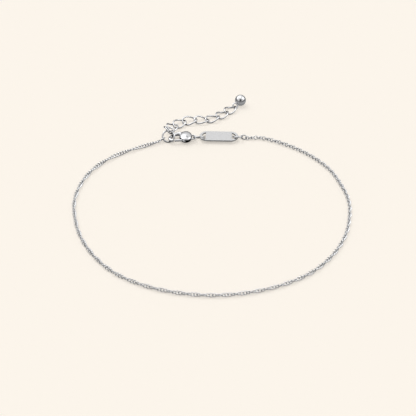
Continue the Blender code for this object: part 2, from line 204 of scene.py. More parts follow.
POLISHED = SilverFinish("polished_silver", Slot.POLISHED, (0.84, 0.84, 0.85), (0.74, 0.74, 0.75),
                        0.04, 0.10, 0.0006, shade_reach=1.1, kept_in_shade=0.02)
CAST = SilverFinish("cast_clasp_silver", Slot.POLISHED, (0.80, 0.80, 0.81), (0.68, 0.68, 0.69),
                    0.20, 0.28, 0.0006, shade_reach=1.5, kept_in_shade=0.02)
DRAWN = SilverFinish("drawn_wire_silver", Slot.WIRE, (0.78, 0.78, 0.79), (0.66, 0.66, 0.67),
                     0.10, 0.20, 0.0010, shade_reach=0.8, kept_in_shade=0.08)
SATIN = SilverFinish("satin_tag_silver", Slot.TAG, (0.66, 0.66, 0.66), (0.61, 0.61, 0.615),
                     0.40, 0.48, 0.0005, 0.20, 6.0, shade_reach=1.9, kept_in_shade=0.05)
FACETED = SilverFinish("fine_chain_silver", Slot.CHAIN, (0.86, 0.86, 0.87), (0.76, 0.76, 0.77),
                       0.06, 0.16, 0.0008, shade_reach=0.4, kept_in_shade=0.40)
BRIGHT_WIRE = replace(POLISHED, name="bright_wire_silver", slot=Slot.WIRE)
RIVET = replace(DRAWN, name="rivet_silver", slot=Slot.POLISHED)


@dataclass
class Form:
    """A mesh in the making: corners in millimetres and faces."""

    corners: list[Vector]
    faces: list[tuple[int, ...]]

    def add(self, other: "Form") -> None:
        """Puts another form beside what is there.

        Args:
            other: The form to add.
        """
        start = len(self.corners)
        self.corners.extend(other.corners)
        self.faces.extend(tuple(start + corner for corner in face) for face in other.faces)

    def placed(self, place: Matrix) -> "Form":
        """The same form, moved to a frame."""
        return Form([place @ spot for spot in self.corners], self.faces)

    def mesh(self, name: str) -> bpy.types.Mesh:
        """Makes a mesh with its faces turned outwards.

        Args:
            name: The mesh's name.

        Returns:
            The mesh, still in millimetres.
        """
        mesh = bpy.data.meshes.new(name)
        mesh.from_pydata(self.corners, [], self.faces)
        bm = bmesh.new()
        bm.from_mesh(mesh)
        bmesh.ops.recalc_face_normals(bm, faces=bm.faces)
        bm.to_mesh(mesh)
        bm.free()
        return mesh


def finished(name: str, mesh: bpy.types.Mesh, finish: SilverFinish, nodes: tuple[str, ...],
             body: Body = Body.ANKLET, sharp_angle: float = 40.0) -> None:
    """Turns a mesh in millimetres into a dressed piece that stands for its CAD nodes.

    Args:
        name: The piece's name.
        mesh: Its mesh in millimetres, in the part's frame.
        finish: What it is dressed in.
        nodes: The CAD nodes that it stands for.
        body: The body that it rides on.
        sharp_angle: Edges sharper than this stay crisp, in degrees.
    """
    mesh.transform(Matrix.Scale(MM, 4))
    mesh.shade_smooth()
    mesh.set_sharp_from_angle(angle=math.radians(sharp_angle))
    mesh.materials.clear()
    mesh.materials.append(finish.material())
    piece = linked(name, mesh)
    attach(piece, body.value)
    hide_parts(*nodes)
    log.info("%s: %d faces", name, len(mesh.polygons))


def evaluated(obj: bpy.types.Object) -> bpy.types.Mesh:
    """Applies an object's modifiers.

    Args:
        obj: The object.

    Returns:
        The mesh that they make.
    """
    bpy.context.view_layer.update()
    graph = bpy.context.evaluated_depsgraph_get()
    return bpy.data.meshes.new_from_object(obj.evaluated_get(graph))


def worked(mesh: bpy.types.Mesh, steps: list[tuple[Fuse, bpy.types.Mesh]],
           sliver: float = 0.0002) -> bpy.types.Mesh:
    """Cuts other solids from a mesh or joins them to it.

    Args:
        mesh: The mesh to work on.
        steps: What is done, in order, and the solid that does it.
        sliver: Corners nearer than this are one corner, in millimetres.

    Returns:
        The new mesh, without the slivers that such work leaves.
    """
    blank = linked("blank", mesh)
    tools = []
    for step, (kind, solid) in enumerate(steps):
        tools.append(linked(f"tool_{step}", solid))
        modifier = blank.modifiers.new(f"work_{step}", "BOOLEAN")
        modifier.operation = kind.value
        modifier.solver = "EXACT"
        modifier.object = tools[-1]
    made = evaluated(blank)
    for spent in [blank, *tools]:
        bpy.data.objects.remove(spent, do_unlink=True)
    bm = bmesh.new()
    bm.from_mesh(made)
    bmesh.ops.remove_doubles(bm, verts=bm.verts, dist=sliver)
    bmesh.ops.dissolve_degenerate(bm, edges=bm.edges, dist=sliver)
    bm.to_mesh(made)
    bm.free()
    return made


def cast(name: str, form: Form, grain: float, softening: int) -> bpy.types.Mesh:
    """Melts overlapping forms into one casting with softened joins.

    Args:
        name: The mesh's name.
        form: The overlapping forms.
        grain: How fine the new surface is, in millimetres.
        softening: How often it is smoothed.

    Returns:
        One closed mesh in millimetres.
    """
    blank = linked(name, form.mesh(name))
    melt = blank.modifiers.new("melt", "REMESH")
    melt.mode = "VOXEL"
    melt.voxel_size = grain
    soften = blank.modifiers.new("soften", "CORRECTIVE_SMOOTH")
    soften.factor = 0.5
    soften.iterations = softening
    soften.smooth_type = "SIMPLE"
    soften.use_only_smooth = True
    made = evaluated(blank)
    bpy.data.objects.remove(blank, do_unlink=True)
    return made


def smooth_line(points: list[Vector], steps: int) -> list[Vector]:
    """Catmull-Rom curve through points.

    Args:
        points: What it goes through.
        steps: Points on each stretch.

    Returns:
        The points of the curve.
    """
    ends = [2 * points[0] - points[1], *points, 2 * points[-1] - points[-2]]
    line = []
    for before, start, end, after in zip(ends, ends[1:], ends[2:], ends[3:]):
        for step in range(steps):
            t = step / steps
            line.append(0.5 * (2 * start + (end - before) * t
                               + (2 * before - 5 * start + 4 * end - after) * t**2
                               + (3 * start - before - 3 * end + after) * t**3))
    return [*line, points[-1]]


def lying(place: Vector, along: Vector, normal: Vector) -> Matrix:
    """A frame with local X along a line and local Z as near a normal as it can.

    Args:
        place: Its origin.
        along: The line's direction.
        normal: The normal.

    Returns:
        The frame.
    """
    x_axis = along.normalized()
    z_axis = (normal - normal.dot(x_axis) * x_axis).normalized()
    turn = Matrix((x_axis, z_axis.cross(x_axis), z_axis)).transposed().to_4x4()
    return Matrix.Translation(place) @ turn


def heading(turn: float, climb: float) -> Vector:
    """A direction from two angles in degrees.

    Args:
        turn: Its heading in plan, from +X towards +Y.
        climb: How steeply it rises.

    Returns:
        The unit direction.
    """
    turn, climb = math.radians(turn), math.radians(climb)
    return Vector((math.cos(turn) * math.cos(climb), math.sin(turn) * math.cos(climb),
                   math.sin(climb)))


def wrapped(rows: int, sides: int, closed: bool) -> list[tuple[int, ...]]:
    """Faces between rows of corners that go round a form.

    Args:
        rows: How many rows there are.
        sides: Corners in each row.
        closed: Whether the last row joins the first, or both are capped.

    Returns:
        The faces.
    """
    faces: list[tuple[int, ...]] = []
    for row in range(rows if closed else rows - 1):
        here, there = row * sides, (row + 1) % rows * sides
        for step in range(sides):
            after = (step + 1) % sides
            faces.append((here + step, here + after, there + after, there + step))
    if not closed:
        faces += [tuple(range(sides)), tuple(range((rows - 1) * sides, rows * sides))]
    return faces


def closed_wire(line: list[Vector], radii: list[float], sides: int) -> Form:
    """A closed round wire along a loop of points, with no twist left over at its seam.

    Args:
        line: Middle line of the wire.
        radii: Radius at each point.
        sides: Sides of its section.

    Returns:
        The wire.
    """
    count = len(line)
    runs = [(line[(n + 1) % count] - line[n - 1]).normalized() for n in range(count)]
    side = runs[0].orthogonal().normalized()
    sides_of = [side]
    for before, after in zip(runs, runs[1:] + runs[:1]):
        side = before.rotation_difference(after) @ side
        sides_of.append(side)
    left_over = sides_of[-1].angle(sides_of[0], 0.0)
    if sides_of[-1].cross(sides_of[0]).dot(runs[0]) < 0.0:
        left_over = -left_over
    corners = []
    for n, (spot, run) in enumerate(zip(line, runs)):
        first = Matrix.Rotation(left_over * n / count, 3, run) @ sides_of[n]
        second = run.cross(first)
        for step in range(sides):
            angle = math.tau * step / sides
            corners.append(spot + radii[n] * (math.cos(angle) * first + math.sin(angle) * second))
    return Form(corners, wrapped(count, sides, closed=True))


def flat_rod(line: list[Vector], half_widths: list[float], half_heights: list[float],
             sides: int) -> Form:
    """A rod with oval sections along a line in the XY plane.

    Args:
        line: Middle line of the rod.
        half_widths: Half its width in the plane, at each point.
        half_heights: Half its height, at each point.
        sides: Sides of its section.

    Returns:
        The rod, with flat ends.
    """
    corners = []
    for n, spot in enumerate(line):
        run = line[min(n + 1, len(line) - 1)] - line[max(n - 1, 0)]
        side = Vector((-run.y, run.x, 0.0)).normalized()
        for step in range(sides):
            angle = math.tau * step / sides
            corners.append(spot + side * math.cos(angle) * half_widths[n]
                           + UP * math.sin(angle) * half_heights[n])
    return Form(corners, wrapped(len(line), sides, closed=False))


def turned(profile: list[tuple[float, float]], segments: int) -> Form:
    """A solid of revolution about Z.

    Args:
        profile: Radius and height of each ring, from the bottom up. The ends are closed.
        segments: Steps round the axis.

    Returns:
        The turned solid.
    """
    corners = [Vector((radius * math.cos(math.tau * n / segments),
                       radius * math.sin(math.tau * n / segments), height))
               for radius, height in profile for n in range(segments)]
    return Form(corners, wrapped(len(profile), segments, closed=False))


def flat_ring(place: Vector, diameter: float, wire: float, height: float, segments: int,
              sides: int) -> Form:
    """A ring in the XY plane whose wire is oval.

    Args:
        place: Its middle.
        diameter: Outside diameter.
        wire: Width of its wire in the plane.
        height: Height of its wire.
        segments: Steps round the ring.
        sides: Sides of its section.

    Returns:
        The ring.
    """
    radius = (diameter - wire) / 2
    corners = []
    for step in range(segments):
        turn = math.tau * step / segments
        for side in range(sides):
            angle = math.tau * side / sides
            out = radius + math.cos(angle) * wire / 2
            corners.append(place + Vector((out * math.cos(turn), out * math.sin(turn),
                                           math.sin(angle) * height / 2)))
    return Form(corners, wrapped(segments, sides, closed=True))


def full_dome(place: Vector, length: float, width: float, thickness: float, segments: int,
              rings: int, fullness: float = 2.6) -> Form:
    """A flattened round body, fuller than an ellipsoid.

    Args:
        place: Its middle.
        length: Its size along X.
        width: Its size along Y.
        thickness: Its size along Z.
        segments: Steps round it.
        rings: Steps from its bottom to its top.
        fullness: 2 is an ellipsoid, and more is fuller.

    Returns:
        The body.
    """
    bm = bmesh.new()
    bmesh.ops.create_uvsphere(bm, u_segments=segments, v_segments=rings, radius=1.0)
    corners = []
    for vertex in bm.verts:
        reach = math.hypot(vertex.co.x, vertex.co.y)
        rise = math.copysign(max(0.0, 1.0 - reach**2) ** (1.0 / fullness), vertex.co.z)
        corners.append(place + Vector((vertex.co.x * length / 2, vertex.co.y * width / 2,
                                       rise * thickness / 2)))
    faces = [tuple(vertex.index for vertex in face.verts) for face in bm.faces]
    bm.free()
    return Form(corners, faces)


def plain_box(low: Vector, high: Vector) -> Form:
    """A box with square sides.

    Args:
        low: Its lowest corner.
        high: Its highest corner.

    Returns:
        The box.
    """
    corners = [Vector((x, y, z)) for x in (low.x, high.x) for y in (low.y, high.y)
               for z in (low.z, high.z)]
    faces = [(0, 1, 3, 2), (4, 6, 7, 5), (0, 4, 5, 1), (2, 3, 7, 6), (0, 2, 6, 4), (1, 5, 7, 3)]
    return Form(corners, faces)


@dataclass
class WireLink:
    """A closed link or ring of round wire, with the fine seam where it was soldered.

    Its twist is in degrees over one pitch, and the seam's turn is its place round the link in
    degrees. The seam's depth, half its width and its points are shares of the wire.
    """

    length: float
    width: float
    wire: float
    twist: float = 0.0
    pitch: float = 1.0
    seam_turn: float = 80.0
    seam_depth: float = 0.07
    seam_half: float = 0.04
    seam_points: tuple[float, ...] = (-0.10, -0.04, 0.0, 0.04, 0.10)

    def form(self, count: int, sides: int) -> Form:
        """Builds the wire in the link's own frame, with its length along X.

        Args:
            count: Points along the wire.
            sides: Sides of its section.

        Returns:
            The link.
        """
        half_length, half_width = (self.length - self.wire) / 2, (self.width - self.wire) / 2
        seam = math.radians(self.seam_turn)
        even = {round(math.tau * n / count, 6) for n in range(count)}
        angles = sorted(even | {round(seam + share * self.wire / half_width, 6)
                                for share in self.seam_points})
        line, radii = [], []
        for angle in angles:
            along, across = half_length * math.cos(angle), half_width * math.sin(angle)
            turn = math.radians(self.twist) * along / self.pitch
            line.append(Vector((along, across * math.cos(turn), across * math.sin(turn))))
            off = abs(angle - seam) * half_width / self.wire
            dip = self.seam_depth * math.exp(-(off / self.seam_half) ** 2)
            radii.append(self.wire / 2 * (1.0 - dip))
        return closed_wire(line, radii, sides)

    def hang(self, name: str, node: str, place: Matrix, count: int = 72, sides: int = 16,
             finish: SilverFinish = DRAWN) -> None:
        """Builds the link where it hangs.

        Args:
            name: The piece's name.
            node: The CAD node that it stands for.
            place: The link's frame.
            count: Points along the wire.
            sides: Sides of its section.
            finish: What it is dressed in.
        """
        mesh = self.form(count, sides).placed(place).mesh(name)
        finished(name, mesh, finish, (node,), sharp_angle=WIRE_ANGLE)


@dataclass
class Clasp:
    """The lobster clasp, lying on its side with its hook at -X and its lever at -Y.

    A section's first two numbers are shares of half the clasp's length and width, and its third
    is a share of the hook's wire or of the lever's width.
    """

    place: tuple[float, float] = (-7.67, 24.3)
    length: float = 7.5
    width: float = 4.4
    thickness: float = 2.04
    dome_length: float = 3.4
    dome_width: float = 4.4
    dome_seat: float = 0.5
    hook_wire: float = 0.80
    tail_diameter: float = 2.1
    tail_wire: float = 0.40
    tail_height: float = 0.40
    tail_side: float = -0.02
    lever_thickness: float = 0.6
    lever_width: float = 0.62
    lever_side_gap: float = 0.12
    lever_tip_gap: float = 0.15
    rivet_diameter: float = 0.5
    rivet_gap: float = 0.05
    rivet_fall: float = 0.385
    # Share of the rivet's radius, and height over the dome
    rivet_head: tuple[tuple[float, float], ...] = (
        (1.0, -0.06), (0.94, -0.025), (0.75, -0.006), (0.4, 0.0), (0.1, 0.004),
    )
    slot_reach: float = 0.3
    slot_depth: float = 1.2
    hook_sections: tuple[tuple[float, float, float], ...] = (
        (0.10, 0.44, 1.60), (-0.14, 0.60, 1.45), (-0.36, 0.62, 1.25), (-0.56, 0.45, 1.10),
        (-0.73, 0.16, 1.00), (-0.87, -0.20, 1.00), (-0.88, -0.52, 1.00), (-0.77, -0.72, 0.96),
        (-0.62, -0.79, 0.92),
    )
    lever_sections: tuple[tuple[float, float, float], ...] = (
        (-0.56, -0.79, 1.00), (-0.30, -0.76, 1.05), (0.00, -0.70, 1.15), (0.28, -0.52, 1.45),
        (0.50, -0.50, 1.00),
    )
    pivot_share: tuple[float, float] = (0.30, -0.50)
    nub_share: tuple[float, float] = (0.12, -0.86)
    nub_length: float = 1.2

    @property
    def middle(self) -> Vector:
        """Middle of the clasp."""
        return Vector((*self.place, self.thickness / 2))

    @property
    def tail(self) -> Vector:
        """Middle of the tail ring, from the clasp's middle."""
        along = (self.length - self.tail_diameter) / 2
        return Vector((along, self.tail_side * self.width, 0.0))

    @property
    def pivot(self) -> Vector:
        """Middle of the rivet, from the clasp's middle."""
        return self.spot(*self.pivot_share)

    @property
    def dome_middle(self) -> Vector:
        """Middle of the domed body, from the clasp's middle."""
        seat = self.length / 2 - self.tail_diameter + self.tail_wire + self.dome_seat
        return Vector((seat - self.dome_length / 2, (self.width - self.dome_width) / 2, 0.0))

    def spot(self, along: float, across: float) -> Vector:
        """A place from shares of half the clasp's length and width."""
        return Vector((along * self.length / 2, across * self.width / 2, 0.0))

    def sweep(self, sections: tuple[tuple[float, float, float], ...],
              steps: int) -> tuple[list[Vector], list[float]]:
        """Smooths a table of sections.

        Args:
            sections: Shares along and across, and a thickness share.
            steps: Points on each stretch.

        Returns:
            The middle line and the thickness share at each of its points.
        """
        rows = smooth_line([Vector(row) for row in sections], steps)
        return [self.spot(row.x, row.y) for row in rows], [row.z for row in rows]

    def drill(self) -> bpy.types.Mesh:
        """What drills the rivet's hole.

        Returns:
            A round bar through the clasp at the rivet.
        """
        bore = self.rivet_diameter / 2 + self.rivet_gap
        bar = turned([(bore, -self.thickness), (bore, self.thickness)], segments=48)
        return bar.placed(Matrix.Translation(self.pivot)).mesh("drill")

    def body(self) -> None:
        """Builds the hook, the domed body and the tail ring as one polished casting."""
        shell = full_dome(self.dome_middle, self.dome_length, self.dome_width, self.thickness,
                          segments=72, rings=40)
        line, shares = self.sweep(self.hook_sections, steps=8)
        radii = [share * self.hook_wire / 2 for share in shares]
        shell.add(flat_rod(line, radii, radii, sides=28))
        shell.add(flat_ring(self.tail, self.tail_diameter, self.tail_wire, self.tail_height,
                            segments=64, sides=16))
        mesh = cast("clasp_casting", shell, grain=0.05, softening=4)
        slot_half = self.lever_thickness / 2 + self.lever_side_gap
        low = Vector((line[-1].x + self.lever_tip_gap, -self.width, -slot_half))
        high = Vector((self.pivot.x + self.slot_reach * self.dome_length,
                       self.pivot.y + self.slot_depth * self.lever_width, slot_half))
        mesh = worked(mesh, [(Fuse.CUT, plain_box(low, high).mesh("slot")),
                             (Fuse.CUT, self.drill())])
        mesh.transform(Matrix.Translation(self.middle))
        finished("clasp_casting", mesh, CAST, ("clasp_body",))

    def lever(self) -> None:
        """Builds the sprung gate with its thumb nub, which rides on the lever's body."""
        line, shares = self.sweep(self.lever_sections, steps=8)
        line[0].x = max(line[0].x, self.spot(*self.hook_sections[-1][:2]).x + self.lever_tip_gap)
        shape = flat_rod(line, [share * self.lever_width / 2 for share in shares],
                         [self.lever_thickness / 2] * len(line), sides=24)
        shape.add(full_dome(self.spot(*self.nub_share), self.nub_length * self.lever_width,
                            self.lever_width, self.lever_thickness, segments=32, rings=20))
        mesh = cast("clasp_gate", shape, grain=0.03, softening=3)
        mesh = worked(mesh, [(Fuse.CUT, self.drill())])
        mesh.transform(Matrix.Translation(self.middle))
        finished("clasp_gate", mesh, CAST, ("clasp_lever",), Body.LEVER)

    def rivet(self) -> None:
        """Builds the rivet, with its two slightly domed heads."""
        along = (self.pivot.x - self.dome_middle.x) / (self.dome_length / 2)
        across = (self.pivot.y - self.dome_middle.y) / (self.dome_width / 2)
        half = self.thickness * (1.0 - along**2 - across**2) ** self.rivet_fall / 2
        radius = self.rivet_diameter / 2
        head = [(radius * share, half + rise) for share, rise in self.rivet_head]
        profile = [(r, -h) for r, h in reversed(head)] + head
        pin = turned(profile, segments=40).placed(Matrix.Translation(self.middle + self.pivot))
        finished("clasp_pin", pin.mesh("clasp_pin"), RIVET, ("clasp_rivet",))

    def build(self) -> None:
        """Builds and dresses the whole clasp."""
        self.body()
        self.lever()
        self.rivet()


@dataclass
class ClaspRing:
    """The jump ring round the hook's nose, leaning back."""

    clasp: Clasp
    diameter: float = 3.5
    wire: float = 0.46
    tilt: float = 45.0
    seat: float = 0.5
    shift: float = 0.03
    chain_turn: float = 205.0

    @property
    def radius(self) -> float:
        """Radius of the wire's middle line."""
        return (self.diameter - self.wire) / 2

    @property
    def lean(self) -> Vector:
        """The way up the ring."""
        tilt = math.radians(self.tilt)
        return Vector((0.0, math.cos(tilt), math.sin(tilt)))

    @property
    def place(self) -> Vector:
        """Finds where the ring leans on the hook's nose.

        Returns:
            The middle of the ring.
        """
        inside_nose = self.clasp.place[0] - self.clasp.length / 2 + self.clasp.hook_wire
        return Vector((inside_nose + self.seat + self.wire / 2 - self.radius,
                       self.clasp.place[1] - self.shift * self.clasp.width,
                       self.wire / 2 + self.radius * self.lean.z))

    @property
    def top(self) -> Vector:
        """Middle of the wire at the ring's top."""
        return self.place + self.radius * self.lean

    def chain_side(self) -> tuple[Vector, Vector]:
        """Where the chain hangs.

        Returns:
            The middle of the wire there, and the wire's direction.
        """
        turn = math.radians(self.chain_turn)
        spot = self.place + self.radius * (math.cos(turn) * RIGHT + math.sin(turn) * self.lean)
        return spot, -math.sin(turn) * RIGHT + math.cos(turn) * self.lean

    def build(self) -> None:
        """Builds and dresses the ring."""
        link = WireLink(self.diameter, self.diameter, self.wire, seam_turn=150.0)
        link.hang("clasp_jump_ring", "clasp_ring", lying(self.place, RIGHT, RIGHT.cross(self.lean)),
                  count=88, sides=18, finish=BRIGHT_WIRE)


@dataclass
class Extender:
    """The curb links from the clasp ring to the ball, each twisted so that it lies nearly flat.

    A row of the lay is a link's heading, climb and roll in degrees, and how slack it hangs in the
    piece before it, as a share of its wire.
    """

    ring: ClaspRing
    length: float = 4.28
    width: float = 3.2
    wire: float = 0.42
    twist: float = -50.0
    lay: tuple[tuple[float, float, float, float], ...] = (
        (84.3, -18.5, 27.0, 0.23),
        (58.4, -13.3, 16.6, 1.11),
        (39.1, 0.0, 11.6, 0.66),
        (10.4, 1.5, 12.9, 0.50),
        (5.5, -5.5, 4.6, 0.27),
        (28.0, 2.5, -0.7, 0.52),
        (46.7, -1.6, 0.0, 0.24),
        (49.2, -0.2, 0.6, 0.0),
    )

    def build(self) -> tuple[Vector, Vector]:
        """Builds and dresses the links.

        Returns:
            The point where the last link holds the ball's eye, and that link's direction.
        """
        pitch = self.length - 2 * self.wire - HANG_GAP
        reach = (self.wire + HANG_GAP) / 2
        along = heading(*self.lay[0][:2])
        hook = self.ring.top - along * ((self.ring.wire + self.wire) / 2 + HANG_GAP - reach)
        link = WireLink(self.length, self.width, self.wire, self.twist, pitch)
        for number, (turn, climb, roll, slack) in enumerate(self.lay, 1):
            along = heading(turn, climb)
            hook = hook - along * slack * self.wire
            frame = lying(hook + along * pitch / 2, along, UP)
            frame = frame @ Matrix.Rotation(math.radians(roll), 4, "X")
            link.hang(f"curb_link_{number}", f"extender_link_{number}", frame)
            hook = hook + along * pitch
        return hook, along


@dataclass
class EndBall:
    """The polished ball at the extender's end, with its soldered eye."""

    diameter: float = 3.0
    eye_diameter: float = 1.8
    eye_wire: float = 0.36
    eye_seat: float = 0.12
    eye_roll: float = -35.0
    eye_play: float = 1.5
    solder_depth: float = 0.10
    solder: tuple[tuple[float, float], ...] = (
        (0.36, 0.0), (0.33, 0.08), (0.24, 0.15), (0.19, 0.25), (0.15, 0.34),
    )

    def build(self, extender: Extender, hook: Vector, along: Vector) -> None:
        """Builds and dresses the ball where the last link holds it.

        Args:
            extender: The chain that it hangs on.
            hook: Where the last link holds the eye.
            along: The last link's direction.
        """
        flat_run = Vector((along.x, along.y, 0.0)).normalized()
        eye_radius = (self.eye_diameter - self.eye_wire) / 2
        last_nose = hook + along * (extender.wire + HANG_GAP) / 2
        play = self.eye_play * HANG_GAP
        eye_wire = last_nose - along * ((extender.wire + self.eye_wire) / 2 + play)
        reach = self.eye_diameter / 2 + self.diameter / 2 - self.eye_seat
        drop = (self.diameter / 2 - eye_wire.z) / (reach + eye_radius)
        to_ball = (flat_run * math.sqrt(1.0 - drop**2) + UP * drop).normalized()
        eye_place = eye_wire + to_ball * eye_radius
        upright = lying(eye_place, to_ball, to_ball.cross(UP))
        eye = flat_ring(Vector(), self.eye_diameter, self.eye_wire, self.eye_wire,
                        segments=64, sides=16)
        eye = eye.placed(upright @ Matrix.Rotation(math.radians(self.eye_roll), 4, "X"))
        bm = bmesh.new()
        bmesh.ops.create_uvsphere(bm, u_segments=96, v_segments=64, radius=self.diameter / 2)
        sphere = bpy.data.meshes.new("ball")
        bm.to_mesh(sphere)
        bm.free()
        ball_place = eye_place + to_ball * reach
        sphere.transform(Matrix.Translation(ball_place))
        start = ball_place - to_ball * (self.diameter / 2 - self.solder_depth)
        solder = turned(list(self.solder), segments=32)
        solder = solder.placed(lying(start, to_ball.orthogonal(), -to_ball))
        mesh = worked(sphere, [(Fuse.JOIN, solder.mesh("solder")), (Fuse.JOIN, eye.mesh("eye"))])
        finished("polished_ball", mesh, POLISHED, ("end_ball",))


@dataclass
class BarTag:
    """The flat bar tag with its two D-shaped holes, left bare."""

    place: tuple[float, float] = (1.92, 24.85)
    turn: float = -2.0
    length: float = 10.2
    width: float = 4.3
    thickness: float = 0.42
    end_radius: float = 2.23
    rim: float = 0.62
    lift: float = 0.62
    edge: float = 0.07

    @property
    def arc_middle(self) -> float:
        """Distance from the tag's middle to the middle of its round ends."""
        return self.length / 2 - self.end_radius

    def spot(self, along: float) -> Vector:
        """A place in plan under a point of the tag's long middle line."""
        turn = Matrix.Rotation(math.radians(self.turn), 2)
        return Vector(self.place) + turn @ Vector((along, 0.0))

    def loops(self) -> list[list[tuple[float, float]]]:
        """Draws the tag in its own frame.

        Returns:
            Its outline and its two holes, the holes the other way round.
        """
        spread = math.asin(self.width / 2 / self.end_radius)
        steps = 28
        turns = [2 * n / steps - 1 for n in range(steps + 1)]
        end = [(self.arc_middle + self.end_radius * math.cos(spread * turn),
                self.end_radius * math.sin(spread * turn)) for turn in turns]
        radius = self.end_radius - self.rim
        spread = math.acos((end[0][0] - self.arc_middle) / radius)
        hole = [(self.arc_middle + radius * math.cos(spread * turn),
                 radius * math.sin(spread * turn)) for turn in reversed(turns)]
        return [end + [(-x, -y) for x, y in end], hole, [(-x, -y) for x, y in hole]]

    def plate(self) -> bpy.types.Mesh:
        """Makes the bare plate with all its edges eased.

        Returns:
            Its mesh, in its own frame, with its middle at half height.
        """
        drawing = bpy.data.curves.new("tag_drawing", "CURVE")
        drawing.dimensions = "2D"
        drawing.fill_mode = "BOTH"
        drawing.extrude = self.thickness / 2 - self.edge
        drawing.bevel_depth = self.edge
        drawing.bevel_resolution = 3
        drawing.offset = -self.edge
        for loop in self.loops():
            spline = drawing.splines.new("POLY")
            spline.points.add(len(loop) - 1)
            for point, (x, y) in zip(spline.points, loop):
                point.co = (x, y, 0.0, 1.0)
            spline.use_cyclic_u = True
        blank = linked("tag_blank", drawing)
        mesh = evaluated(blank)
        bpy.data.objects.remove(blank, do_unlink=True)
        bm = bmesh.new()
        bm.from_mesh(mesh)
        bmesh.ops.remove_doubles(bm, verts=bm.verts, dist=0.001)
        bmesh.ops.recalc_face_normals(bm, faces=bm.faces)
        bm.to_mesh(mesh)
        bm.free()
        return mesh

    def build(self) -> None:
        """Builds and dresses the tag."""
        mesh = self.plate()
        mesh.transform(Matrix.Translation((*self.place, self.lift + self.thickness / 2))
                       @ Matrix.Rotation(math.radians(self.turn), 4, "Z"))
        finished("bar_tag", mesh, SATIN, ("tag",), sharp_angle=9.0)


@dataclass
class TagRings:
    """The two jump rings through the tag's holes.

    A lean is how much a ring rises towards +X and towards -Y. A shift is a share of the ring's
    radius.
    """

    clasp: Clasp
    tag: BarTag
    left_diameter: float = 3.3
    right_diameter: float = 2.9
    wire: float = 0.36
    left_lean: tuple[float, float] = (0.01, 0.78)
    right_lean: tuple[float, float] = (-0.05, 0.57)
    left_play: float = 2.8
    left_shift: float = -0.057
    right_shift: float = 0.166
    chain_turn: float = 10.0

    def lean(self, place: Vector, diameter: float,
             slopes: tuple[float, float]) -> tuple[Matrix, Vector]:
        """The frame of a ring that leans on what it holds.

        Args:
            place: Its middle in plan.
            diameter: Its outside diameter.
            slopes: How it rises towards +X and towards -Y.

        Returns:
            Its frame and its normal.
        """
        normal = Vector((-slopes[0], slopes[1], 1.0)).normalized()
        radius = (diameter - self.wire) / 2
        height = self.wire / 2 + radius * math.hypot(normal.x, normal.y)
        return lying(Vector((place.x, place.y, height)), RIGHT, normal), normal

    def build(self) -> tuple[Vector, Vector]:
        """Builds and dresses both rings.

        Returns:
            Middle of the right ring's wire where the chain hangs, and the wire's direction there.
        """
        clasp = self.clasp
        tail = clasp.middle + clasp.tail + RIGHT * (clasp.tail_diameter - clasp.tail_wire) / 2
        radius = (self.left_diameter - self.wire) / 2
        inside_tail = tail.x + radius - (clasp.tail_wire + self.wire) / 2 - self.left_play * HANG_GAP
        frame, _ = self.lean(Vector((inside_tail, tail.y + self.left_shift * radius)),
                             self.left_diameter, self.left_lean)
        WireLink(self.left_diameter, self.left_diameter, self.wire).hang(
            "tag_jump_ring_left", "tag_ring_left", frame)

        radius = (self.right_diameter - self.wire) / 2
        place = self.tag.spot(self.tag.length / 2 - self.tag.rim / 2)
        place = place + Vector((self.right_shift * radius, 0.0))
        frame, normal = self.lean(place, self.right_diameter, self.right_lean)
        WireLink(self.right_diameter, self.right_diameter, self.wire).hang(
            "tag_jump_ring_right", "tag_ring_right", frame)
        side = math.radians(self.chain_turn)
        x_axis = frame.col[0].to_3d()
        y_axis = normal.cross(x_axis)
        wire = frame.translation + radius * (math.cos(side) * x_axis + math.sin(side) * y_axis)
        return wire, -math.sin(side) * x_axis + math.cos(side) * y_axis


